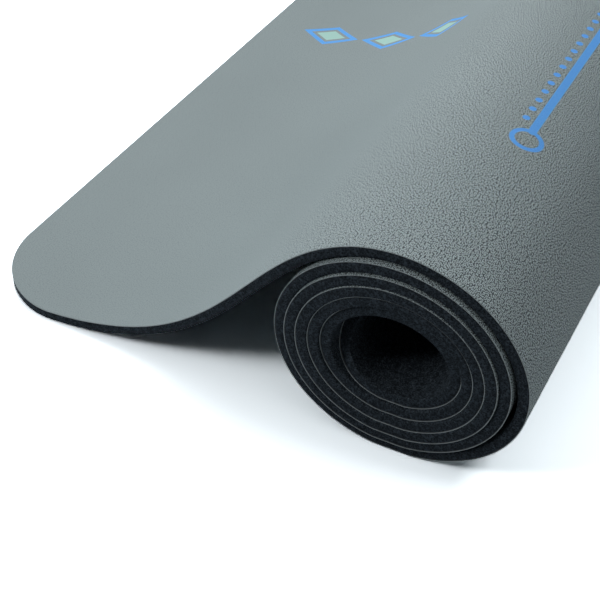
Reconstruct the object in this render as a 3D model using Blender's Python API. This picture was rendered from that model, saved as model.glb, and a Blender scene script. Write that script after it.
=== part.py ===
"""A thick yoga mat, rolled up from one end, with its free end left flat on the floor.

The mat is three bonded layers: a foamed rubber base, a thin woven backing and a coated skin.
X runs along the mat, with the free end at -X and the roll at +X, and Y runs along the roll.
Z is up, and the origin is the middle of the space that the mat takes up, on the floor.
All lengths are in metres.
"""

import math

import bmesh
import bpy
import numpy as np

# The cut sheet, laid flat
MAT_LENGTH = 1.83
MAT_WIDTH = 0.68
CORNER_RADIUS = 0.053

# The layers from the floor up, and the bond line between two of them
BASE_THICKNESS = 0.0041
BACKING_THICKNESS = 0.0003
SKIN_THICKNESS = 0.0004
BOND_LINE = 0.0003

# The roll
EYE_RADIUS = 0.0213
TURN_GAP = 0.0005
ROLL_SAG = 0.0025
SEAT_DEPTH = 0.0005
LAP_SLACK = 0.0022
TURN_DRIFT = 0.0045

# Where the outer turn stands off the next one, clockwise from the top of the roll
SLACK_START = math.radians(30)
SLACK_END = math.radians(200)

# The free end: a flat foot, then a rise that meets the roll just before its top
FOOT_LENGTH = 0.034
RISE_SPAN = 0.197
FOOT_EASE = 0.1333
CREST_EASE = 0.0642
LIFT_ANGLE = math.radians(-15)

# How finely the curves are divided, with the rise's steps crowded towards the roll
TURN_STEPS = 52
RISE_STEPS = 20
RISE_CROWDING = 1.5
CORNER_STEPS = 7
FINE_STEPS = 12
HALVINGS = 60
SHARP_ANGLE = math.radians(40)

# Each layer's own colour, as linear red, green and blue, and its roughness
RUBBER_COLOUR, RUBBER_ROUGHNESS = (0.010, 0.013, 0.015), 0.8
CLOTH_COLOUR, CLOTH_ROUGHNESS = (0.10, 0.11, 0.115), 0.9
SKIN_COLOUR, SKIN_ROUGHNESS = (0.26, 0.32, 0.335), 0.6

MAT_THICKNESS = BASE_THICKNESS + BACKING_THICKNESS + SKIN_THICKNESS + 2 * BOND_LINE
TURN_PITCH = MAT_THICKNESS + TURN_GAP
FULL_TURN = 2 * math.pi
BOTTOM_ANGLE = math.pi
# The drift is a half wave along the winding that peaks a little before the middle
DRIFT_POWER_SHARE = 0.85


def outward(angle):
    """Unit vectors square to the sheet, for angles clockwise from straight up."""
    return np.stack([np.sin(angle), np.cos(angle)], axis=-1)


def along(angle):
    """Unit vectors along the sheet, towards its wound end."""
    return np.stack([np.cos(angle), -np.sin(angle)], axis=-1)


def support_radius(angle, end_angle):
    """Distance of the sheet's underside from the roll's middle, measured square to the sheet.

    Each turn lies one pitch inside the last in this measure, so the gap between turns is even
    although the roll sags into an oval.
    """
    spiral = EYE_RADIUS + TURN_PITCH * (end_angle - angle) / FULL_TURN
    sag = ROLL_SAG * np.cos(2 * angle)
    slack_part = np.clip((angle - SLACK_START) / (SLACK_END - SLACK_START), 0, 1)
    slack = LAP_SLACK * np.sin(math.pi * slack_part) ** 2
    return spiral - sag + slack


def centre_height(end_angle):
    """Height of the roll's middle, with the outer turn's skin pressed onto the floor."""
    return support_radius(BOTTOM_ANGLE, end_angle) + MAT_THICKNESS - SEAT_DEPTH


def wound_curve(end_angle):
    """The underside's curve round the roll: its angles, its points and its pressed heights."""
    steps = int(TURN_STEPS * FINE_STEPS * (end_angle - LIFT_ANGLE) / FULL_TURN)
    angle = np.linspace(LIFT_ANGLE, end_angle, steps)
    radius = support_radius(angle, end_angle)
    change = np.gradient(radius, angle, edge_order=2)
    points = radius[:, None] * outward(angle) + change[:, None] * along(angle)
    points[:, 1] += centre_height(end_angle)
    lowest_angle = BOTTOM_ANGLE + FULL_TURN * np.round((angle - BOTTOM_ANGLE) / FULL_TURN)
    lowest_radius = support_radius(lowest_angle, end_angle)
    pressed = centre_height(end_angle) - lowest_radius + SEAT_DEPTH
    return angle, points, pressed


def rise_curve(crest):
    """The free end's curve from the foot up to the roll, eased at both ends."""
    foot = crest - np.array([RISE_SPAN, 0])
    foot[1] = 0
    handles = [foot, foot + FOOT_EASE * along(0.0), crest - CREST_EASE * along(LIFT_ANGLE), crest]
    share = np.linspace(0, 1, RISE_STEPS * FINE_STEPS, endpoint=False)[:, None]
    weights = [(1 - share) ** 3, 3 * share * (1 - share) ** 2, 3 * share ** 2 * (1 - share), share ** 3]
    points = sum(weight * handle for weight, handle in zip(weights, handles))
    slope = np.gradient(points, axis=0)
    return -np.arctan2(slope[:, 1], slope[:, 0]), points


def foot_curve(start):
    """The flat foot's straight line, from the mat's cut end to the start of the rise."""
    share = np.linspace(1, 0, CORNER_STEPS * FINE_STEPS, endpoint=False)[:, None]
    return start - FOOT_LENGTH * share * along(0.0)


def sheet_curve(end_angle):
    """The whole underside, from the cut free end to the cut inner end of the roll."""
    wound_angle, wound, wound_pressed = wound_curve(end_angle)
    rise_angle, rise = rise_curve(wound[0])
    foot = foot_curve(rise[0])
    angle = np.concatenate([np.zeros(len(foot)), rise_angle, wound_angle])
    points = np.concatenate([foot, rise, wound])
    pressed = np.concatenate([np.full(len(foot) + len(rise), -math.inf), wound_pressed])
    middle = points + MAT_THICKNESS / 2 * outward(angle)
    steps = np.hypot(*np.diff(middle, axis=0).T)
    length = np.concatenate([[0], np.cumsum(steps)])
    return {"length": length, "angle": angle, "points": points, "pressed": pressed,
            "lift": len(foot) + len(rise)}


def winding_end():
    """Angle at which the mat's length is used up, found by halving."""
    low, high = 0.0, FULL_TURN * MAT_LENGTH / EYE_RADIUS
    for _ in range(HALVINGS):
        middle = (low + high) / 2
        if sheet_curve(middle)["length"][-1] < MAT_LENGTH:
            low = middle
        else:
            high = middle
    return high


def half_width(length):
    """Half of the mat's width at a distance along it, drawn in at its round corners."""
    from_end = np.minimum(length, MAT_LENGTH - length)
    inside = CORNER_RADIUS - np.clip(from_end, 0, CORNER_RADIUS)
    return MAT_WIDTH / 2 - CORNER_RADIUS + np.sqrt(CORNER_RADIUS ** 2 - inside ** 2)


def side_drift(angle, end_angle):
    """How far each turn stands out along the roll, in a half wave from outer to inner end."""
    share = np.clip((angle - LIFT_ANGLE) / (end_angle - LIFT_ANGLE), 0, 1)
    return -TURN_DRIFT * np.sin(math.pi * share ** DRIFT_POWER_SHARE)


def station_lengths(curve, end_angle):
    """Distances along the mat at which the layers get a cross-section."""
    quarter = np.linspace(0, math.pi / 2, CORNER_STEPS + 1)
    corner = CORNER_RADIUS * (1 - np.cos(quarter))
    lift = curve["lift"]
    lift_length = curve["length"][lift]
    rise_left = np.linspace(1, 0, RISE_STEPS, endpoint=False) ** RISE_CROWDING
    rise = lift_length - (lift_length - FOOT_LENGTH) * rise_left
    step = FULL_TURN / TURN_STEPS
    first = math.ceil(LIFT_ANGLE / step - 1 / 2) + 1 / 2
    turns = np.arange(first * step, end_angle, step)
    wound = np.interp(turns, curve["angle"][lift:], curve["length"][lift:])
    lengths = np.sort(np.concatenate([corner, rise, wound, MAT_LENGTH - corner]))
    least_step = CORNER_RADIUS * (1 - math.cos(quarter[1])) / 2
    kept = lengths[np.concatenate([[True], np.diff(lengths) > least_step])]
    before_end = kept[kept < MAT_LENGTH - least_step]
    return np.append(before_end, MAT_LENGTH)


def cross_sections():
    """Everything that the layers share: where each cross-section lies and how wide it is."""
    end_angle = winding_end()
    curve = sheet_curve(end_angle)
    lengths = station_lengths(curve, end_angle)

    def at_stations(values):
        return np.interp(lengths, curve["length"], values)

    points = np.stack([at_stations(curve["points"][:, 0]), at_stations(curve["points"][:, 1])], axis=1)
    angle = at_stations(curve["angle"])
    wound = lengths >= curve["length"][curve["lift"]]
    pressed = np.where(wound, np.interp(lengths, curve["length"][curve["lift"]:],
                                        curve["pressed"][curve["lift"]:]), -math.inf)
    skin = points + MAT_THICKNESS * outward(angle)
    points[:, 0] -= (skin[:, 0].min() + skin[:, 0].max()) / 2
    drift = side_drift(angle, end_angle)
    middle_y = -(drift.min() + drift.max()) / 2
    print("turns wound:", round(end_angle / FULL_TURN, 3))
    return {"points": points, "angle": angle, "pressed": pressed, "wound": wound,
            "half_width": half_width(lengths), "middle_y": drift + middle_y}


def offset_curve(sections, height):
    """The curve that lies a height above the underside, pressed flat where the roll rests."""
    curve = sections["points"] + height * outward(sections["angle"])
    curve[:, 1] = np.maximum(curve[:, 1], sections["pressed"] - height)
    return curve


def layer(name, bottom, top, sections, colour, roughness):
    """One layer of the mat: a closed strip between two heights above the underside."""
    lower = offset_curve(sections, bottom)
    upper = offset_curve(sections, top)
    near = sections["middle_y"] - sections["half_width"]
    far = sections["middle_y"] + sections["half_width"]
    mesh = bmesh.new()
    rings = []
    for low, high, y_near, y_far in zip(lower, upper, near, far):
        corners = [(low[0], y_near, low[1]), (low[0], y_far, low[1]),
                   (high[0], y_far, high[1]), (high[0], y_near, high[1])]
        rings.append([mesh.verts.new(corner) for corner in corners])
    mesh.faces.new(rings[0])
    for ring, following in zip(rings, rings[1:]):
        for side in range(len(ring)):
            beside = (side + 1) % len(ring)
            mesh.faces.new([ring[beside], ring[side], following[side], following[beside]])
    mesh.faces.new(reversed(rings[-1]))
    bmesh.ops.recalc_face_normals(mesh, faces=mesh.faces)
    data = bpy.data.meshes.new(name)
    mesh.to_mesh(data)
    mesh.free()
    data.shade_smooth()
    data.set_sharp_from_angle(angle=SHARP_ANGLE)
    data.materials.append(plain_material(name, colour, roughness))
    layer_object = bpy.data.objects.new(name, data)
    bpy.context.scene.collection.objects.link(layer_object)
    return layer_object


def plain_material(name, colour, roughness):
    """A plain material in the layer's own colour."""
    material = bpy.data.materials.new(name)
    material.use_nodes = True
    shader = material.node_tree.nodes["Principled BSDF"]
    shader.inputs["Base Color"].default_value = (*colour, 1)
    shader.inputs["Roughness"].default_value = roughness
    shader.inputs["Metallic"].default_value = 0
    return material


def least_gap(sections):
    """Least distance between the skin's outer face and the underside of any other turn."""
    skin = offset_curve(sections, MAT_THICKNESS)
    underside = offset_curve(sections, 0)
    steps = np.hypot(*np.diff(underside, axis=0).T)
    length = np.concatenate([[0], np.cumsum(steps)])
    start, along_edge = underside[:-1], np.diff(underside, axis=0)
    least = math.inf
    for index, point in enumerate(skin):
        apart = np.abs(length[:-1] - length[index]) > math.pi * EYE_RADIUS
        share = ((point - start) * along_edge).sum(axis=1) / (along_edge ** 2).sum(axis=1)
        nearest = start + np.clip(share, 0, 1)[:, None] * along_edge
        least = min(least, np.hypot(*(nearest - point).T)[apart].min())
    return least


def build():
    """Remove what is in the scene and build the mat's layers."""
    for old in list(bpy.data.objects):
        bpy.data.objects.remove(old, do_unlink=True)
    sections = cross_sections()
    backing_bottom = BASE_THICKNESS + BOND_LINE
    backing_top = backing_bottom + BACKING_THICKNESS
    skin_bottom = backing_top + BOND_LINE
    layer("rubber_base", 0, BASE_THICKNESS, sections, RUBBER_COLOUR, RUBBER_ROUGHNESS)
    layer("woven_backing", backing_bottom, backing_top, sections, CLOTH_COLOUR, CLOTH_ROUGHNESS)
    layer("coated_skin", skin_bottom, MAT_THICKNESS, sections, SKIN_COLOUR, SKIN_ROUGHNESS)
    print("least gap between turns, mm:", round(1000 * least_gap(sections), 3))


build()
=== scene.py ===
# %% [markdown]
# A thick yoga mat, partly rolled
#
# The mat is one long sheet of three bonded layers. A foamed rubber base gives the grip and the
# cushioning, a thin woven cloth keeps it from stretching, and a coated film is the side that the
# hands and feet touch. It is rolled from one end with the rubber inside, and the other end lies
# flat on the floor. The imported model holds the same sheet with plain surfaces, so this script
# gives every layer its real section, its cut edges and its finish.

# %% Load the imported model
import math

import bmesh
import bpy
import numpy as np
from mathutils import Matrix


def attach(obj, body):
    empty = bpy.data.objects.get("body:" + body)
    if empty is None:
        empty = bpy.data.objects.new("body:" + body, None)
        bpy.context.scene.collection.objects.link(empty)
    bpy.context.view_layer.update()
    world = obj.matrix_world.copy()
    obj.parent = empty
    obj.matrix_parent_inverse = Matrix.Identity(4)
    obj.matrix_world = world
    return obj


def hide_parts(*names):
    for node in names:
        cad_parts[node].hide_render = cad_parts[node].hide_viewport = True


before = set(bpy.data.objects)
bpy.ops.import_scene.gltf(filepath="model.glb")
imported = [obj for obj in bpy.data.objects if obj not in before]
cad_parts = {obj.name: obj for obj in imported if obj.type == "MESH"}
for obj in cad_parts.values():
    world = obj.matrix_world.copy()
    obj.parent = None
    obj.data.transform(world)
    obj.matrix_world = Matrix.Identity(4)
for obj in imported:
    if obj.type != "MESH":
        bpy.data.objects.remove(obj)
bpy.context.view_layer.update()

print("plain solids:", sorted(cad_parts))

# %% [markdown]
# The curve that the sheet follows
#
# Seen from its end, the sheet runs flat on the floor, rises in a soft S and winds into the roll.
# A ready-made spiral or a Screw modifier would give a perfect round, but a real roll sags into an
# oval under its own weight and still keeps an even gap between its turns. So the winding is
# written as a support radius: the distance of the sheet from the roll's middle, measured square
# to the sheet. Taking one pitch off that distance in each turn keeps the gap even whatever the
# shape. The rise is one Bezier curve, which meets the floor and the roll without a kink.

# %% Sizes of the mat, in metres
MAT_LENGTH = 1.83
MAT_WIDTH = 0.68
CORNER_RADIUS = 0.053
MAT_THICKNESS = 0.0054
FULL_TURN = 2 * math.pi
# The roll's open eye, the spacing of its turns, its sag, and how much its weight presses flat.
EYE_RADIUS = 0.0213
TURN_PITCH = 0.0059
ROLL_SAG = 0.0025
SEAT_DEPTH = 0.0005
# How far the outer lap stands off and between which angles, and how far the turns drift sideways.
LAP_SLACK = 0.0022
SLACK_START, SLACK_END = math.radians(30), math.radians(200)
TURN_DRIFT = 0.0045
DRIFT_POWER_SHARE = 0.85
# The flat end, the rise, how long it clings to the floor and to the crest, and its angle there.
FOOT_LENGTH = 0.034
RISE_SPAN = 0.197
FOOT_EASE = 0.1333
CREST_EASE = 0.0642
LIFT_ANGLE = math.radians(-15)
print("flat mat, metres:", MAT_LENGTH, "x", MAT_WIDTH, "x", MAT_THICKNESS)


# %% The roll as a support radius
def outward(angle):
    """Unit vectors square to the sheet, for angles clockwise from straight up."""
    return np.stack([np.sin(angle), np.cos(angle)], axis=-1)


def along(angle):
    """Unit vectors along the sheet, towards its wound end."""
    return np.stack([np.cos(angle), -np.sin(angle)], axis=-1)


def support_radius(angle, end_angle):
    """Distance of the sheet's underside from the roll's middle, square to the sheet."""
    spiral = EYE_RADIUS + TURN_PITCH * (end_angle - angle) / FULL_TURN
    slack_part = np.clip((angle - SLACK_START) / (SLACK_END - SLACK_START), 0, 1)
    slack = LAP_SLACK * np.sin(math.pi * slack_part) ** 2
    return spiral - ROLL_SAG * np.cos(2 * angle) + slack


def centre_height(end_angle):
    """Height of the roll's middle over the floor."""
    return support_radius(math.pi, end_angle) + MAT_THICKNESS - SEAT_DEPTH


print("middle of a one-turn roll, metres up:", round(float(centre_height(FULL_TURN)), 4))


# %% The wound part of the curve
def wound_part(end_angle, fineness):
    """Underside points of the roll, their angles, and how low each turn may be at its bottom."""
    angle = np.linspace(LIFT_ANGLE, end_angle, fineness)
    radius = support_radius(angle, end_angle)
    change = np.gradient(radius, angle, edge_order=2)
    points = radius[:, None] * outward(angle) + change[:, None] * along(angle)
    points[:, 1] += centre_height(end_angle)
    lowest = math.pi + FULL_TURN * np.round((angle - math.pi) / FULL_TURN)
    pressed = centre_height(end_angle) - support_radius(lowest, end_angle) + SEAT_DEPTH
    return points, angle, pressed


TRIAL_POINTS = 3000
print("crest of a one-turn roll, x and z:", wound_part(FULL_TURN, TRIAL_POINTS)[0][0].round(4))

# %% The flat foot and the rise
RISE_POINTS_PART = 6
FOOT_POINTS_PART = 12


def rising_part(crest, fineness):
    """Underside points of the flat foot and of the rise up to the crest, and their angles."""
    foot = np.array([crest[0] - RISE_SPAN, 0.0])
    handles = [foot, foot + FOOT_EASE * along(0.0), crest - CREST_EASE * along(LIFT_ANGLE), crest]
    share = np.linspace(0, 1, fineness // RISE_POINTS_PART, endpoint=False)[:, None]
    weights = [(1 - share) ** 3, 3 * share * (1 - share) ** 2, 3 * share ** 2 * (1 - share), share ** 3]
    rise = sum(weight * handle for weight, handle in zip(weights, handles))
    slope = np.gradient(rise, axis=0)
    back = np.linspace(1, 0, fineness // FOOT_POINTS_PART, endpoint=False)[:, None]
    flat = foot - FOOT_LENGTH * back * along(0.0)
    angle = np.concatenate([np.zeros(len(flat)), -np.arctan2(slope[:, 1], slope[:, 0])])
    return np.concatenate([flat, rise]), angle


print("trial points up to the crest:", len(rising_part(np.zeros(2), TRIAL_POINTS)[1]))

# %% The whole curve, from the flat end to the inner end
NEVER_PRESSED = -1.0


def sheet_curve(end_angle, fineness):
    """The sheet's underside, measured along its middle from the free end."""
    wound, wound_angle, wound_pressed = wound_part(end_angle, fineness)
    rising, rising_angle = rising_part(wound[0], fineness)
    points = np.concatenate([rising, wound])
    angle = np.concatenate([rising_angle, wound_angle])
    pressed = np.concatenate([np.full(len(rising), NEVER_PRESSED), wound_pressed])
    middle = points + MAT_THICKNESS / 2 * outward(angle)
    length = np.concatenate([[0], np.cumsum(np.hypot(*np.diff(middle, axis=0).T))])
    return {"length": length, "angle": angle, "x": points[:, 0], "z": points[:, 1],
            "pressed": pressed, "lift": len(rising)}


print("mat used by one turn, metres:", sheet_curve(FULL_TURN, TRIAL_POINTS)["length"][-1].round(3))

# %% Wind until the mat's length is used up
HALVINGS = 50
FINAL_POINTS = 12000
low_end, high_end = 0.0, FULL_TURN * MAT_LENGTH / EYE_RADIUS
for _ in range(HALVINGS):
    END_ANGLE = (low_end + high_end) / 2
    if sheet_curve(END_ANGLE, TRIAL_POINTS)["length"][-1] < MAT_LENGTH:
        low_end = END_ANGLE
    else:
        high_end = END_ANGLE
CURVE = sheet_curve(END_ANGLE, FINAL_POINTS)
OUTER_X = CURVE["x"] + MAT_THICKNESS * np.sin(CURVE["angle"])
MIDDLE_X = (OUTER_X.min() + OUTER_X.max()) / 2
CURVE["x"] = CURVE["x"] - MIDDLE_X
print("turns:", round(END_ANGLE / FULL_TURN, 3), "roll middle x:", round(-MIDDLE_X, 5),
      "height:", round(centre_height(END_ANGLE), 5))

# %% Let the turns drift sideways a little, as on a roll made by hand
WINDING_PART = np.clip((CURVE["angle"] - LIFT_ANGLE) / (END_ANGLE - LIFT_ANGLE), 0, 1)
DRIFT = -TURN_DRIFT * np.sin(math.pi * WINDING_PART ** DRIFT_POWER_SHARE)
CURVE["drift"] = DRIFT - (DRIFT.min() + DRIFT.max()) / 2
print("sideways drift, metres:", CURVE["drift"].min().round(5), "to", CURVE["drift"].max().round(5))

# %% [markdown]
# Where the cross-sections lie
#
# The real mat is cut from a flat sheet with round corners before it is rolled. Here it is lofted
# through cross-sections. They could be evenly spaced, but then either the flat end wastes faces
# or the inner turns show corners. So they are close together where the curve bends tightly and
# where the round corners narrow the sheet. Each point of a section also keeps its place on the
# flat mat, as an attribute in metres: distance from the free end, distance from the near side and
# height in the sheet. The grain and the print are drawn in those flat coordinates, so they follow
# the mat round the roll as the real ones do, and don't stretch.

# %% The layers in the sheet's thickness, and the rounding of their cut edges
# Real mats of this kind have a film of about a third of a millimetre on a cloth of a fifth of one.
FILM_BOTTOM = 0.00506
CLOTH_BOTTOM = 0.00486
LAYER_GAP = 0.00001
RUBBER_EDGE = 0.0006
CLOTH_EDGE = 0.00005
FILM_EDGE = 0.00016
print("cloth and film, metres thick:", round(FILM_BOTTOM - CLOTH_BOTTOM, 5),
      round(MAT_THICKNESS - FILM_BOTTOM, 5))

# %% Sections along the length
CORNER_STEPS = 20
CORNER_STEPS_PER_EDGE_STEP = 5
TURN_STEPS = 128
RISE_STEPS = 90
CLOSEST_PARTS = 40


def station_lengths(edge_round):
    """Distances from the free end at which a layer gets a section, both ends rounded."""
    quarter = np.linspace(0, math.pi / 2, CORNER_STEPS + 1)
    corner = CORNER_RADIUS * (1 - np.cos(quarter))
    edge = edge_round * (1 - np.cos(quarter[::CORNER_STEPS_PER_EDGE_STEP]))
    winding = np.arange(LIFT_ANGLE, END_ANGLE, FULL_TURN / TURN_STEPS)
    lift = CURVE["lift"]
    wound = np.interp(winding, CURVE["angle"][lift:], CURVE["length"][lift:])
    rise = np.linspace(FOOT_LENGTH, wound[0], RISE_STEPS, endpoint=False)
    lengths = np.concatenate([corner, edge, rise, wound, MAT_LENGTH - corner, MAT_LENGTH - edge])
    lengths = np.sort(lengths)
    return lengths[np.concatenate([[True], np.diff(lengths) > edge_round / CLOSEST_PARTS])]


print("sections along the film:", len(station_lengths(FILM_EDGE)))

# %% One section of a layer
ACROSS = 14
EDGE_STEPS = 4
FLAT_RIM = 0.001


def section_outline(bottom, top, edge_round):
    """Points round a section: side (-1 to 1), inset from the cut edge, and height.

    A narrow flat rim beside each rounded edge keeps the smooth shading of the edge off the flat.
    """
    turn = np.linspace(0, math.pi / 2, EDGE_STEPS + 1)
    insets = np.append(edge_round * (1 - np.cos(turn)), edge_round + FLAT_RIM)
    drops = np.append(edge_round * (1 - np.sin(turn)), 0)
    upper_side = [(-1, inset, top - drop) for inset, drop in zip(insets, drops)]
    upper = [(side, 0, top) for side in np.linspace(-1, 1, ACROSS)[1:-1]]
    far_upper = [(1, inset, height) for _, inset, height in reversed(upper_side)]
    lower_side = [(1, inset, bottom + drop) for inset, drop in zip(insets, drops)]
    lower = [(side, 0, bottom) for side in np.linspace(1, -1, ACROSS)[1:-1]]
    near_lower = [(-1, inset, height) for _, inset, height in reversed(lower_side)]
    return upper_side + upper + far_upper + lower_side + lower + near_lower


print("points round the film:", len(section_outline(FILM_BOTTOM, MAT_THICKNESS, FILM_EDGE)))

# %% [markdown]
# Lofting a layer
#
# A die cuts the bonded layers in one go and leaves soft edges and round corners. A layer could be
# a plane with a Solidify modifier on a curve, but then its cut edges would be square and its
# corners would have no arc. Building the rings of points directly gives each layer its own
# rounded edges, and the pressed bottom of the roll comes for free. Bmesh joins ring to ring with
# quads, and each end is closed by its own cap.

# %% How wide the sheet is, and how uneven its cut edge
EDGE_WAVE = 0.000125
WAVE_CYCLES = (7, 13, 29, 53)
WAVE_SEED = 3
rng = np.random.default_rng(WAVE_SEED)
WAVE_STARTS = [rng.random() for _ in WAVE_CYCLES]


def half_width(length):
    """Half of the mat's width at a distance along it, drawn in at its round corners."""
    from_end = np.minimum(length, MAT_LENGTH - length)
    inside = CORNER_RADIUS - np.clip(from_end, 0, CORNER_RADIUS)
    return MAT_WIDTH / 2 - CORNER_RADIUS + np.sqrt(np.maximum(CORNER_RADIUS ** 2 - inside ** 2, 0))


def edge_wave(length):
    """A slight unevenness of the cut edge along the mat, well under a millimetre."""
    waves = [np.sin(FULL_TURN * (cycles * length / MAT_LENGTH + start)) / math.sqrt(cycles)
             for cycles, start in zip(WAVE_CYCLES, WAVE_STARTS)]
    return EDGE_WAVE * sum(waves)


print("half width at the free end, metres:", half_width(0.0).round(3))
print("edge wave, metres at most:", np.abs(edge_wave(CURVE["length"])).max().round(5))

# %% What else shapes a section
SWELL_TURN = math.radians(60)


def curve_at(length, measure):
    """One measure of the sheet's curve, at a distance along it."""
    return np.interp(length, CURVE["length"], CURVE[measure])


def end_rounding(length, edge_round):
    """How far a layer's two faces draw in at its rounded ends."""
    from_end = min(length, MAT_LENGTH - length)
    inside = max(edge_round - from_end, 0)
    return edge_round - math.sqrt(max(edge_round ** 2 - inside ** 2, 0))


def foam_swell(length, swell):
    """How far squeezed foam stands inwards: not on the flat end, and fully once well wound."""
    if length < CURVE["length"][CURVE["lift"]]:
        return 0.0
    return swell * np.interp(curve_at(length, "angle"), [LIFT_ANGLE, LIFT_ANGLE + SWELL_TURN], [0, 1])


print("the roll starts, metres from the free end:", CURVE["length"][CURVE["lift"]].round(3))


# %% The points of one section
def section_points(length, outline, bottom, top, edge_round, swell):
    """Each point of a section in space, with its place on the flat mat."""
    normal = outward(curve_at(length, "angle"))
    base_x = curve_at(length, "x")
    base_z = curve_at(length, "z")
    pressed = curve_at(length, "pressed")
    shift = curve_at(length, "drift") + edge_wave(length)
    half = half_width(length)
    rounding = end_rounding(length, edge_round)
    swollen = foam_swell(length, swell)
    points = []
    for side, inset, height in outline:
        kept = min(max(height, bottom + rounding), top - rounding)
        kept -= swollen * (top - kept) / (top - bottom)
        from_middle = side * (half - inset)
        x = base_x + kept * normal[0]
        z = max(base_z + kept * normal[1], pressed - kept)
        points.append(((x, from_middle + shift, z), (length, MAT_WIDTH / 2 + from_middle, kept)))
    return points


top_point = [(0, 0, MAT_THICKNESS)]
top_at_half = section_points(MAT_LENGTH / 2, top_point, 0.0, MAT_THICKNESS, RUBBER_EDGE, 0.0)
print("top of the sheet at half its length, x, y and z:", np.round(top_at_half[0][0], 4))

# %% Loft one layer
SHARP_ANGLE = math.radians(50)


def loft_layer(name, bottom, top, edge_round, swell=0.0):
    """A closed sheet between two heights, whose underside may swell a little in the roll."""
    outline = section_outline(bottom, top, edge_round)
    mesh = bmesh.new()
    place = mesh.verts.layers.float_vector.new("flat_place")
    rings = []
    for length in station_lengths(edge_round):
        ring = []
        for point, flat_point in section_points(length, outline, bottom, top, edge_round, swell):
            vertex = mesh.verts.new(point)
            vertex[place] = flat_point
            ring.append(vertex)
        rings.append(ring)
    for ring, following in zip(rings, rings[1:]):
        for index in range(len(outline)):
            beside = (index + 1) % len(outline)
            mesh.faces.new([ring[index], ring[beside], following[beside], following[index]])
    mesh.faces.new(reversed(rings[0]))
    mesh.faces.new(rings[-1])
    bmesh.ops.recalc_face_normals(mesh, faces=mesh.faces)
    return add_piece(name, mesh)


def add_piece(name, mesh):
    """Turn a bmesh into a smoothly shaded object of the scene."""
    data = bpy.data.meshes.new(name)
    mesh.to_mesh(data)
    mesh.free()
    data.shade_smooth()
    data.set_sharp_from_angle(angle=SHARP_ANGLE)
    piece = bpy.data.objects.new(name, data)
    bpy.context.scene.collection.objects.link(piece)
    print(name, "faces:", len(data.polygons))
    return piece


# %% The three layers
# The foam is squeezed along its inner side where it is wound, so it swells inwards there.
ROLL_SWELL = 0.0003
rubber = loft_layer("foamed_rubber_sheet", 0.0, CLOTH_BOTTOM - LAYER_GAP, RUBBER_EDGE, ROLL_SWELL)
cloth = loft_layer("woven_cloth_sheet", CLOTH_BOTTOM, FILM_BOTTOM - LAYER_GAP, CLOTH_EDGE)
film = loft_layer("coated_film_sheet", FILM_BOTTOM, MAT_THICKNESS, FILM_EDGE)

# %% [markdown]
# How the materials are written
#
# A finish could be painted as an image, but an image blurs close up and repeats on a sheet this
# long. Nodes give the same detail at any distance. Colours are written as sRGB hex values, as a
# maker would read them off the object, and one function turns them into the linear values that
# the shader needs. One small function adds a node, sets it and links what feeds it.


# %% Two helpers for materials
def linear(hex_colour):
    """sRGB hex to a linear RGBA colour."""
    parts = [int(hex_colour[start:start + 2], 16) / 255 for start in (1, 3, 5)]
    return (*[part / 12.92 if part <= 0.04045 else ((part + 0.055) / 1.055) ** 2.4 for part in parts], 1.0)


def add_node(tree, kind, inputs, **settings):
    """Add a node, set its own settings, and set or link each input by its name or number.

    An input may be given another node, whose first output it then takes.
    """
    node = tree.nodes.new(kind)
    for key, value in settings.items():
        setattr(node, key, value)
    for key, value in inputs.items():
        if isinstance(value, bpy.types.Node):
            value = value.outputs[0]
        if isinstance(value, bpy.types.NodeSocket):
            tree.links.new(value, node.inputs[key])
        else:
            node.inputs[key].default_value = value
    return node


print("mid grey in linear values:", [round(value, 3) for value in linear("#808080")])

# %% Start a material of the mat
# A colour mix has its two colours at inputs 6 and 7 and its result at output 2.
MIX_FIRST, MIX_SECOND, MIX_RESULT = 6, 7, 2
MATH = "ShaderNodeMath"


def new_material(name):
    """An empty material with a Principled shader, its tree and its shader."""
    material = bpy.data.materials.new(name)
    material.use_nodes = True
    print("material:", name)
    return material, material.node_tree, material.node_tree.nodes["Principled BSDF"]


def flat_place(tree):
    """The place on the flat mat that each point came from, whole and as its three parts."""
    place = add_node(tree, "ShaderNodeAttribute", {}, attribute_name="flat_place").outputs["Vector"]
    return place, add_node(tree, "ShaderNodeSeparateXYZ", {0: place}).outputs


print("a colour mix takes inputs", MIX_FIRST, "and", MIX_SECOND, "and gives output", MIX_RESULT)

# %% [markdown]
# The print
#
# The ink is screen printed on the film before it is bonded, so it is thin and crisp, and the
# film's grain goes on through it. It could be a decal laid over the mesh, but that would float on
# the bent sheet. It is drawn here from distances on the flat mat instead: a rule with a ring at
# each end and a row of round beads beside it, and a chain of diamonds along the middle.

# %% Sizes of the print, in metres on the flat mat
RULE_FROM_END = 0.300
RULE_START = 0.112
RULE_WIDTH = 0.0042
BEAD_PITCH = 0.0092
BEAD_RADIUS = 0.0019
BEAD_OFFSET = 0.0062
RING_RADIUS = 0.0072
RING_LINE = 0.0026
DIAMOND_START = 0.026
DIAMOND_PITCH = 0.046
DIAMOND_COUNT = 3
DIAMOND_HALF_LENGTH = 0.0215
DIAMOND_HALF_WIDTH = 0.0140
DIAMOND_SLOPE_SHARE = 0.86
DIAMOND_LINE = 0.0034
CORE_INSET = 1.7 * DIAMOND_LINE
INK_EDGE = 0.00025
HALF_RULE = MAT_WIDTH / 2 - RULE_START
print("rule, metres long:", round(2 * HALF_RULE, 3), "diamonds:", DIAMOND_COUNT)


# %% Distances on the flat mat
def within(tree, distance, reach):
    """1 where a distance is less than its reach and 0 past it, with the soft edge of the ink."""
    return add_node(tree, "ShaderNodeMapRange", {"Value": distance, "From Min": reach - INK_EDGE,
                                                 "From Max": reach + INK_EDGE,
                                                 "To Min": 1.0, "To Max": 0.0})


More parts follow.
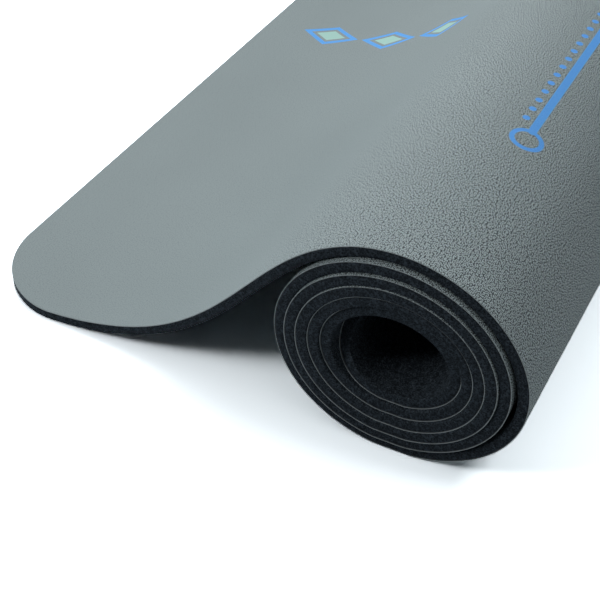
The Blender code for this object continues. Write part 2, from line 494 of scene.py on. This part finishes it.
def flat_distance(tree, along_mat, across_mat):
    """Distance on the flat mat, from how far it goes along the mat and how far across it."""
    way = add_node(tree, "ShaderNodeCombineXYZ", {0: along_mat, 1: across_mat})
    return add_node(tree, "ShaderNodeVectorMath", {0: way}, operation="LENGTH").outputs["Value"]


print("soft edge of the ink, metres wide:", 2 * INK_EDGE)


# %% The rule, its rings and its beads
def rule_mask(tree, along_mat, from_middle):
    """Where the blue rule lies, with a ring at each end and beads beside it."""
    off_rule = add_node(tree, MATH, {0: along_mat, 1: RULE_FROM_END}, operation="SUBTRACT")
    past_end = add_node(tree, MATH, {0: from_middle, 1: HALF_RULE - RING_RADIUS}, operation="SUBTRACT")
    past_rule = add_node(tree, MATH, {0: past_end, 1: 0.0}, operation="MAXIMUM")
    rule = within(tree, flat_distance(tree, off_rule, past_rule), RULE_WIDTH / 2)

    past_middle = add_node(tree, MATH, {0: from_middle, 1: HALF_RULE}, operation="SUBTRACT")
    to_middle = flat_distance(tree, off_rule, past_middle)
    off_line = add_node(tree, MATH, {0: to_middle, 1: RING_RADIUS}, operation="SUBTRACT")
    off_ring = add_node(tree, MATH, {0: off_line}, operation="ABSOLUTE")
    ring = within(tree, off_ring, RING_LINE / 2)

    bead_across = add_node(tree, MATH, {0: from_middle, 1: BEAD_PITCH / 2}, operation="PINGPONG")
    bead_along = add_node(tree, MATH, {0: off_rule, 1: BEAD_OFFSET}, operation="ADD")
    bead = within(tree, flat_distance(tree, bead_along, bead_across), BEAD_RADIUS)
    bead_limit = within(tree, from_middle, HALF_RULE - 2 * RING_RADIUS)
    beads = add_node(tree, MATH, {0: bead, 1: bead_limit}, operation="MULTIPLY")
    line = add_node(tree, MATH, {0: rule, 1: ring}, operation="MAXIMUM")
    return add_node(tree, MATH, {0: line, 1: beads}, operation="MAXIMUM")


print("beads in the row, about:", round(2 * (HALF_RULE - 2 * RING_RADIUS) / BEAD_PITCH))


# %% The chain of diamonds
def diamond_masks(tree, along_mat, from_middle):
    """Where the diamonds' blue outlines lie, and where their mint cores do."""
    step = add_node(tree, MATH, {0: along_mat, 1: DIAMOND_START}, operation="SUBTRACT")
    in_step = add_node(tree, MATH, {0: step, 1: DIAMOND_PITCH}, operation="MODULO")
    local = add_node(tree, MATH, {0: in_step, 1: DIAMOND_PITCH / 2}, operation="SUBTRACT")
    off_middle = add_node(tree, MATH, {0: local}, operation="ABSOLUTE")
    length_part = add_node(tree, MATH, {0: off_middle, 1: DIAMOND_HALF_LENGTH}, operation="DIVIDE")
    width_part = add_node(tree, MATH, {0: from_middle, 1: DIAMOND_HALF_WIDTH}, operation="DIVIDE")
    both = add_node(tree, MATH, {0: length_part, 1: width_part}, operation="ADD")
    past_edge = add_node(tree, MATH, {0: both, 1: 1.0}, operation="SUBTRACT")
    to_edge = add_node(tree, MATH, {0: past_edge, 1: DIAMOND_HALF_WIDTH * DIAMOND_SLOPE_SHARE},
                       operation="MULTIPLY")

    before_end = within(tree, step, DIAMOND_COUNT * DIAMOND_PITCH)
    before_start = within(tree, step, 0.0)
    chain = add_node(tree, MATH, {0: before_end, 1: before_start}, operation="SUBTRACT")
    off_line = add_node(tree, MATH, {0: to_edge, 1: DIAMOND_LINE / 2}, operation="ADD")
    off_outline = add_node(tree, MATH, {0: off_line}, operation="ABSOLUTE")
    outline = within(tree, off_outline, DIAMOND_LINE / 2)
    core = within(tree, to_edge, -CORE_INSET)
    blue = add_node(tree, MATH, {0: outline, 1: chain}, operation="MULTIPLY")
    return blue, add_node(tree, MATH, {0: core, 1: chain}, operation="MULTIPLY")


print("chain of diamonds, metres long:", round(DIAMOND_COUNT * DIAMOND_PITCH, 3))


# %% Both inks
def print_masks(tree, place_parts):
    """Two masks from 0 to 1, for the blue ink and for the mint ink."""
    off_middle = add_node(tree, MATH, {0: place_parts[1], 1: MAT_WIDTH / 2}, operation="SUBTRACT")
    from_middle = add_node(tree, MATH, {0: off_middle}, operation="ABSOLUTE")
    rule = rule_mask(tree, place_parts[0], from_middle)
    outlines, cores = diamond_masks(tree, place_parts[0], from_middle)
    return add_node(tree, MATH, {0: rule, 1: outlines}, operation="MAXIMUM"), cores


print("middle of the print, metres from the near side:", MAT_WIDTH / 2)

# %% [markdown]
# PU leather film
#
# The top is polyurethane film cast on a grained paper, so it carries a fine pebbled grain. The
# pebbles are 0.8 mm apart, under two pixels here, so they are drawn deeper than the real ones
# are, and their creases are darker than the real ones, partly the film's own tone and partly
# painted shade, to show at that size. An image of leather would repeat, while cells measured on
# the flat mat don't. Bent round the roll, the film is stretched and its grain opens, so it is
# drawn deeper there than on the flat end, and its painted crease shade with it. Polyurethane has
# an IOR near 1.5, but a grain finer than the pebbles hides most of its reflection and leaves it
# satin: a broad soft highlight and nothing mirrored. The cut edge shows the paler body of the
# film, lightened further as a painted highlight.

# %% The film's grain
GRAIN_PITCH = 0.00082
GRAIN_DEPTH = 0.0007
PEBBLE_RANDOMNESS = 0.7
WRINKLE_SHARE = 0.12
WRINKLE_DETAIL = 2.0
WRINKLE_ROUGHNESS = 0.6
MEAN_CREASE = 0.48
FLAT_END = 0.18
WELL_BENT = 0.36
FLAT_GRAIN_SHARE = 0.05


def film_grain(tree, place, length):
    """How far down between the pebbles a point lies, and that relief as it opens with the bend."""
    pebbles = add_node(tree, "ShaderNodeTexVoronoi", {"Vector": place, "Scale": 1 / GRAIN_PITCH,
                                                      "Randomness": PEBBLE_RANDOMNESS},
                       feature="F1", voronoi_dimensions="2D")
    wrinkles = add_node(tree, "ShaderNodeTexNoise", {"Vector": place, "Scale": 1 / GRAIN_PITCH,
                                                     "Detail": WRINKLE_DETAIL,
                                                     "Roughness": WRINKLE_ROUGHNESS})
    crease = add_node(tree, MATH, {0: wrinkles, 1: WRINKLE_SHARE, 2: pebbles.outputs["Distance"]},
                      operation="MULTIPLY_ADD")
    openness = add_node(tree, "ShaderNodeMapRange", {"Value": length, "From Min": FLAT_END,
                                                     "From Max": WELL_BENT,
                                                     "To Min": FLAT_GRAIN_SHARE, "To Max": 1.0})
    centred = add_node(tree, MATH, {0: crease, 1: MEAN_CREASE}, operation="SUBTRACT")
    return crease, add_node(tree, MATH, {0: centred, 1: openness}, operation="MULTIPLY")


print("pebbles in a square centimetre, about:", round((0.01 / GRAIN_PITCH) ** 2))

# %% The film's greys
PEBBLE_GREY = "#bdced1"
# The crease grey is partly the film's own tone and partly painted shade in the creases.
CREASE_GREY_AND_SHADE = "#41484b"
TONE_REACH = 0.13
CLOUDS_PER_METRE = 9.0
CLOUD_DETAIL = 2.0
CLOUD_LOW, CLOUD_HIGH = 0.3, 0.7
CLOUD_SHADE = 0.03


def film_grey_with_crease_shade(tree, place, relief):
    """Light pebbles and creases darkened by the film's own tone and by painted shade, under clouds so
    faint that they only break the flatness.
    """
    tone = add_node(tree, "ShaderNodeMapRange", {"Value": relief, "From Min": -TONE_REACH,
                                                 "From Max": TONE_REACH, "To Min": 0.0, "To Max": 1.0})
    grey = add_node(tree, "ShaderNodeMix", {"Factor": tone, MIX_FIRST: linear(PEBBLE_GREY),
                                            MIX_SECOND: linear(CREASE_GREY_AND_SHADE)}, data_type="RGBA")
    clouds = add_node(tree, "ShaderNodeTexNoise", {"Vector": place, "Scale": CLOUDS_PER_METRE,
                                                   "Detail": CLOUD_DETAIL})
    shade = add_node(tree, "ShaderNodeMapRange", {"Value": clouds, "From Min": CLOUD_LOW,
                                                  "From Max": CLOUD_HIGH, "To Min": 1 - CLOUD_SHADE,
                                                  "To Max": 1 + CLOUD_SHADE})
    return add_node(tree, "ShaderNodeVectorMath", {0: grey.outputs[MIX_RESULT],
                                                   "Scale": shade.outputs[0]}, operation="SCALE")


# %% The film, with its print and its cut edge
BLUE_INK = "#64b2ff"
MINT_INK = "#afdbd3"
# The paler body of the film at its cut edge, lightened further as a painted highlight.
FILM_BODY_AND_EDGE_HIGHLIGHT = "#d4e1e7"
CUT_FACE_DEPTH = 0.00006
PEBBLE_TOP, CREASE_BOTTOM = 0.3, 0.9
PEBBLE_ROUGHNESS, CREASE_ROUGHNESS = 0.62, 0.78
FILM_IOR = 1.5
FILM_SPECULAR = 0.22


def film_material():
    """Grey polyurethane film, printed in two inks, with painted shade in its creases and, at the cut edge,
    its paler body lightened further as a painted highlight.
    """
    material, tree, shader = new_material("pu_leather_film")
    place, place_parts = flat_place(tree)
    blue, mint = print_masks(tree, place_parts)
    crease, relief = film_grain(tree, place, place_parts[0])
    # Where the cut edge is, which gets the paler body and its painted highlight.
    cut_face = add_node(tree, "ShaderNodeMapRange", {"Value": place_parts[2],
                                                     "From Min": MAT_THICKNESS - 2 * CUT_FACE_DEPTH,
                                                     "From Max": MAT_THICKNESS - CUT_FACE_DEPTH,
                                                     "To Min": 1.0, "To Max": 0.0})
    colour = film_grey_with_crease_shade(tree, place, relief).outputs[0]
    for mask, tint in ((blue, BLUE_INK), (mint, MINT_INK), (cut_face, FILM_BODY_AND_EDGE_HIGHLIGHT)):
        colour = add_node(tree, "ShaderNodeMix", {"Factor": mask, MIX_FIRST: colour,
                                                  MIX_SECOND: linear(tint)},
                          data_type="RGBA").outputs[MIX_RESULT]
    rough = add_node(tree, "ShaderNodeMapRange", {"Value": crease, "From Min": PEBBLE_TOP,
                                                  "From Max": CREASE_BOTTOM,
                                                  "To Min": PEBBLE_ROUGHNESS,
                                                  "To Max": CREASE_ROUGHNESS})
    bump = add_node(tree, "ShaderNodeBump", {"Strength": 1.0, "Distance": GRAIN_DEPTH, "Height": relief},
                    invert=True)
    tree.links.new(colour, shader.inputs["Base Color"])
    tree.links.new(rough.outputs[0], shader.inputs["Roughness"])
    tree.links.new(bump.outputs[0], shader.inputs["Normal"])
    shader.inputs["IOR"].default_value = FILM_IOR
    shader.inputs["Specular IOR Level"].default_value = FILM_SPECULAR
    return material


film.data.materials.append(film_material())
print("its nodes:", len(film.data.materials[0].node_tree.nodes))

# %% [markdown]
# Foamed natural rubber
#
# The base is natural rubber blown with fine closed cells and pressed in a textured mould. The
# cut edge shows the cells as a fine pitted grain, nearly black, with painted shade in the pits
# and painted light on their rims. Real cells are about a third of a millimetre across, too fine
# for this view, so they are drawn 0.85 mm apart. The underside carries the mould's grip texture,
# whose tips are painted lighter, as highlights that show inside the roll, and they too are drawn
# a little coarser than they are. The pits could be cut into the mesh, but they are far finer than
# its faces, so bump gives them. Rubber has an IOR near 1.52 and scatters most of what it
# reflects, so it is rough and has almost no gloss.

# %% The rubber's cells, in patches
CELL_PITCH = 0.00085
CELL_RANDOMNESS = 1.0
PORE_HOLLOW, PORE_RIM = 0.2, 0.7
PATCH_CELLS = 3
PATCH_DETAIL = 4.0
PATCH_ROUGHNESS = 0.7
PATCH_LOW, PATCH_HIGH = 0.3, 0.7


def rubber_patches(tree, place):
    """Where the painted cell rims and the painted tip highlights show, in patches a few cells wide."""
    patches = add_node(tree, "ShaderNodeTexNoise", {"Vector": place,
                                                    "Scale": 1 / (PATCH_CELLS * CELL_PITCH),
                                                    "Detail": PATCH_DETAIL,
                                                    "Roughness": PATCH_ROUGHNESS})
    return add_node(tree, "ShaderNodeMapRange", {"Value": patches, "From Min": PATCH_LOW,
                                                 "From Max": PATCH_HIGH, "To Min": 0.0, "To Max": 1.0})


def cell_rim_light_and_pit_shade(tree, place, patches):
    """The paler rims of the cells on a cut face, from 0 to 1: painted light on the rims and painted shade
    in the pits.
    """
    cells = add_node(tree, "ShaderNodeTexVoronoi", {"Vector": place, "Scale": 1 / CELL_PITCH,
                                                    "Randomness": CELL_RANDOMNESS}, feature="F1")
    pores = add_node(tree, "ShaderNodeMapRange", {"Value": cells.outputs["Distance"],
                                                  "From Min": PORE_HOLLOW, "From Max": PORE_RIM,
                                                  "To Min": 0.0, "To Max": 1.0})
    return add_node(tree, MATH, {0: pores, 1: patches}, operation="MULTIPLY")


print("cells across the cut edge:", round(CLOTH_BOTTOM / CELL_PITCH, 1))

# %% The grip texture under the mat
GRIP_PITCH = 0.0013
TIP_TOP, TIP_FOOT = 0.05, 0.35
UNDERSIDE_DEPTH = 0.0002


def tip_highlights(tree, grip, height, patches):
    """The tips of the grip texture, painted lighter as highlights, on the underside alone, from 0 to 1."""
    tips = add_node(tree, "ShaderNodeMapRange", {"Value": grip.outputs["Distance"], "From Min": TIP_TOP,
                                                 "From Max": TIP_FOOT, "To Min": 1.0, "To Max": 0.0})
    patched_tips = add_node(tree, MATH, {0: tips, 1: patches}, operation="MULTIPLY")
    under = add_node(tree, "ShaderNodeMapRange", {"Value": height, "From Min": 0.0,
                                                  "From Max": UNDERSIDE_DEPTH, "To Min": 1.0,
                                                  "To Max": 0.0})
    return add_node(tree, MATH, {0: patched_tips, 1: under}, operation="MULTIPLY")


print("grip tips across the mat:", round(MAT_WIDTH / GRIP_PITCH))

# %% The rubber's material
# The cells' pits keep the rubber's black as painted shade, and their rims get a lighter grey as painted
# light.
RUBBER_BLACK = "#14191d"
LIT_CELL_RIM_GREY = "#4e5963"
# The grip's tips are painted lighter: a painted highlight.
TIP_HIGHLIGHT_GREY = "#66727a"
PIT_DEPTH, PIT_STRENGTH = 0.00012, 0.8
GRIP_DEPTH, GRIP_STRENGTH = 0.00025, 0.7
RUBBER_ROUGHNESS = 0.75
RUBBER_IOR = 1.52
RUBBER_SPECULAR = 0.05


def rubber_material():
    """Black closed-cell rubber: pitted cut faces with painted shade and light on the cells, and grip
    texture under it with painted highlights on its tips.
    """
    material, tree, shader = new_material("foamed_natural_rubber")
    place, place_parts = flat_place(tree)
    patches = rubber_patches(tree, place)
    cells = cell_rim_light_and_pit_shade(tree, place, patches)
    grip = add_node(tree, "ShaderNodeTexVoronoi", {"Vector": place, "Scale": 1 / GRIP_PITCH},
                    feature="F1", voronoi_dimensions="2D")
    tips = tip_highlights(tree, grip, place_parts[2], patches)
    cut_face = add_node(tree, "ShaderNodeMix", {"Factor": cells, MIX_FIRST: linear(RUBBER_BLACK),
                                                MIX_SECOND: linear(LIT_CELL_RIM_GREY)}, data_type="RGBA")
    colour = add_node(tree, "ShaderNodeMix", {"Factor": tips, MIX_FIRST: cut_face.outputs[MIX_RESULT],
                                              MIX_SECOND: linear(TIP_HIGHLIGHT_GREY)}, data_type="RGBA")
    pits = add_node(tree, "ShaderNodeBump", {"Strength": PIT_STRENGTH, "Distance": PIT_DEPTH,
                                             "Height": cells})
    relief = add_node(tree, "ShaderNodeBump", {"Strength": GRIP_STRENGTH, "Distance": GRIP_DEPTH,
                                               "Height": grip.outputs["Distance"], "Normal": pits},
                      invert=True)
    tree.links.new(colour.outputs[MIX_RESULT], shader.inputs["Base Color"])
    tree.links.new(relief.outputs[0], shader.inputs["Normal"])
    shader.inputs["Roughness"].default_value = RUBBER_ROUGHNESS
    shader.inputs["IOR"].default_value = RUBBER_IOR
    shader.inputs["Specular IOR Level"].default_value = RUBBER_SPECULAR
    return material


rubber.data.materials.append(rubber_material())
print("its nodes:", len(rubber.data.materials[0].node_tree.nodes))

# %% [markdown]
# Woven carrier cloth
#
# The cloth is a plain weave of polyester yarn. Only its cut edge shows, as part of the thin
# light line round each turn. Modelled threads would never be seen, so a checker stands for the
# weave, at the real thread spacing of a third of a millimetre. The cut edge is thinner than a
# pixel here, so a coarser weave wouldn't show either: it blends into an even mid grey, and a
# closer view shows the threads.

# %% The cloth's material
THREAD_PITCH = 0.00035
THREAD_DEPTH, THREAD_STRENGTH = 0.0001, 0.5
THREAD_LIGHT = "#6e7577"
THREAD_SHADE = "#505658"
CLOTH_ROUGHNESS = 0.85


def cloth_material():
    """Plain-woven grey polyester, with its threads over and under each other."""
    material, tree, shader = new_material("woven_polyester_cloth")
    place, _ = flat_place(tree)
    threads = add_node(tree, "ShaderNodeTexChecker", {"Vector": place, "Scale": 1 / THREAD_PITCH,
                                                      "Color1": linear(THREAD_LIGHT),
                                                      "Color2": linear(THREAD_SHADE)})
    bump = add_node(tree, "ShaderNodeBump", {"Strength": THREAD_STRENGTH, "Distance": THREAD_DEPTH,
                                             "Height": threads.outputs["Fac"]})
    tree.links.new(threads.outputs["Color"], shader.inputs["Base Color"])
    tree.links.new(bump.outputs[0], shader.inputs["Normal"])
    shader.inputs["Roughness"].default_value = CLOTH_ROUGHNESS
    return material


cloth.data.materials.append(cloth_material())
print("its nodes:", len(cloth.data.materials[0].node_tree.nodes))

# %% [markdown]
# Joining the frame
#
# The three layers could be joined into one object, but apart they stay the three sheets that the
# mat is made of. Each takes the place of its plain solid and rides on the mat's one body. All
# three are cut to the same flat size.

# %% Put each piece on the mat's body and hide its plain solid
for piece, node_name, slot_name, under in (
        (rubber, "rubber_base", "foamed_rubber", "floor"),
        (cloth, "woven_backing", "backing_cloth", rubber.name),
        (film, "coated_skin", "skin_film", cloth.name)):
    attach(piece, "root")
    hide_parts(node_name)

# %% [markdown]
# The floor
#
# A plain pale floor carries the shadow. It could run on to a far horizon, but the lamps don't
# reach that far and a dark band would show from low down. So it is a round plate that ends where
# it is still fully lit, and past it the camera sees plain white. Its paint is a mid grey, so that
# it throws little light back at the mat. What is seen of it, straight on or in a gloss, is lifted
# to white through the Light Path node, and the shadows stay.

# %% Floor plate
FLOOR_RADIUS = 1.3
FLOOR_SIDES = 96
FLOOR_DROP = 0.0002
floor_mesh = bmesh.new()
bmesh.ops.create_circle(floor_mesh, cap_ends=True, segments=FLOOR_SIDES, radius=FLOOR_RADIUS)
floor_data = bpy.data.meshes.new("floor")
floor_mesh.to_mesh(floor_data)
floor_mesh.free()
floor = bpy.data.objects.new("floor", floor_data)
floor.location = (0, 0, -FLOOR_DROP)
bpy.context.scene.collection.objects.link(floor)
print("floor radius, metres:", FLOOR_RADIUS)

# %% Floor paint
FLOOR_GREY = "#9ea3a6"
SEEN_LIFT = 9.6
MIRRORED_LIFT = 5.5


def mirrored_rays(tree, path):
    """1 for light on its way to a gloss or through glass, and 0 for the rest."""
    return add_node(tree, MATH, {0: path.outputs["Is Glossy Ray"],
                                 1: path.outputs["Is Transmission Ray"]}, operation="MAXIMUM")


def floor_material():
    """Matt pale paint. What the camera sees of it is lifted to full white, shadows kept."""
    material, tree, shader = new_material("matt_pale_floor")
    path = add_node(tree, "ShaderNodeLightPath", {})
    in_gloss = add_node(tree, "ShaderNodeMapRange", {"Value": mirrored_rays(tree, path), "To Min": 1.0,
                                                     "To Max": MIRRORED_LIFT})
    in_view = add_node(tree, "ShaderNodeMapRange", {"Value": path.outputs["Is Camera Ray"],
                                                    "To Min": 1.0, "To Max": SEEN_LIFT})
    lift = add_node(tree, MATH, {0: in_gloss, 1: in_view}, operation="MAXIMUM")
    paint = add_node(tree, "ShaderNodeVectorMath", {0: linear(FLOOR_GREY)[:3], "Scale": lift.outputs[0]},
                     operation="SCALE")
    matt = add_node(tree, "ShaderNodeBsdfDiffuse", {"Color": paint})
    tree.nodes.remove(shader)
    tree.links.new(matt.outputs[0], tree.nodes["Material Output"].inputs["Surface"])
    return material


floor_data.materials.append(floor_material())
print("its nodes:", len(floor_data.materials[0].node_tree.nodes))

# %% [markdown]
# Light
#
# The light is what a small studio has. One large lamp or a bright sky would be simpler, but it
# would light the far side of the roll and the space under the arch, which are dark here. A strong
# lamp behind, towards the free end, models the sheet and leaves the roll's side away from it
# dark. A broad one overhead and one high on the right fill the top of the roll. Two small ones at
# the front left light the cut edges and give the shadow under the arch its clear edge, and a weak
# one low on the right opens the dark side.

# %% Room light and backdrop
ROOM_WHITE = "#f1f5fa"
ROOM_LIGHT = 0.001
BACKDROP_WHITE = "#ffffff"


def light_room():
    """A trace of even room light, and white wherever the camera or a gloss looks past the floor."""
    world = bpy.data.worlds.new("studio_room")
    bpy.context.scene.world = world
    world.use_nodes = True
    tree = world.node_tree
    room = tree.nodes["Background"]
    room.inputs["Color"].default_value = linear(ROOM_WHITE)
    room.inputs["Strength"].default_value = ROOM_LIGHT
    backdrop = add_node(tree, "ShaderNodeBackground", {"Color": linear(BACKDROP_WHITE), "Strength": 1.0})
    path = add_node(tree, "ShaderNodeLightPath", {})
    shown = add_node(tree, MATH, {0: path.outputs["Is Camera Ray"], 1: mirrored_rays(tree, path)},
                     operation="MAXIMUM")
    choice = add_node(tree, "ShaderNodeMixShader", {0: shown, 1: room, 2: backdrop})
    tree.links.new(choice.outputs[0], tree.nodes["World Output"].inputs["Surface"])


light_room()
print("strength of the room light:", ROOM_LIGHT)


# %% Lamps
def add_lamp(name, place, target, size, watts):
    """A square soft lamp that faces its target."""
    lamp = bpy.data.lights.new(name, "AREA")
    lamp.shape = "SQUARE"
    lamp.size = size
    lamp.energy = watts
    holder = bpy.data.objects.new(name, lamp)
    holder.location = place
    aim = np.array(target) - np.array(place)
    holder.rotation_euler = (math.acos(-aim[2] / np.linalg.norm(aim)), 0,
                             math.atan2(aim[1], aim[0]) - math.pi / 2)
    bpy.context.scene.collection.objects.link(holder)
    print(name, "watts:", watts, "size:", size, "distance:", round(float(np.linalg.norm(aim)), 2))


LAMP_TARGET = (0.05, -0.15, 0.0)
for name, place, size, watts in (
        ("back_lamp", (-1.65, 1.65, 2.1), 0.9, 49.0),
        ("overhead_lamp", (0.05, -0.1, 1.8), 2.6, 7.8),
        ("high_right_lamp", (1.3, 0.2, 2.2), 0.8, 11.8),
        ("front_left_lamp", (-1.1, -1.5, 1.3), 0.35, 6.0),
        ("near_left_lamp", (-1.0, -1.0, 0.9), 0.35, 2.3),
        ("low_right_lamp", (1.8, -0.6, 0.5), 0.8, 1.4)):
    add_lamp(name, place, LAMP_TARGET, size, watts)

# %% [markdown]
# The camera
#
# The camera stands where the photograph was taken from, about 40 degrees up and close to the
# roll, so the near end of the roll looks large and the free end runs away from it. A longer lens
# from further off would flatten that. Depth of field stays off, so every turn is sharp.

# %% Camera
CAMERA_PLACE = (0.2467, -0.7252, 0.4398)
CAMERA_PITCH = 40.07
CAMERA_HEADING = 27.54
FOCAL_PIXELS = 1260
IMAGE_WIDTH = 600
SENSOR_WIDTH = 36
NEAR_LIMIT = 0.01
camera_data = bpy.data.cameras.new("camera")
camera_data.sensor_width = SENSOR_WIDTH
camera_data.lens = SENSOR_WIDTH * FOCAL_PIXELS / IMAGE_WIDTH
camera_data.clip_start = NEAR_LIMIT
camera = bpy.data.objects.new("camera", camera_data)
camera.location = CAMERA_PLACE
camera.rotation_euler = (math.radians(90 - CAMERA_PITCH), 0, math.radians(CAMERA_HEADING))
bpy.context.scene.collection.objects.link(camera)
bpy.context.scene.camera = camera
bpy.context.scene.view_settings.view_transform = "Standard"
print("lens, millimetres:", round(camera_data.lens, 1))
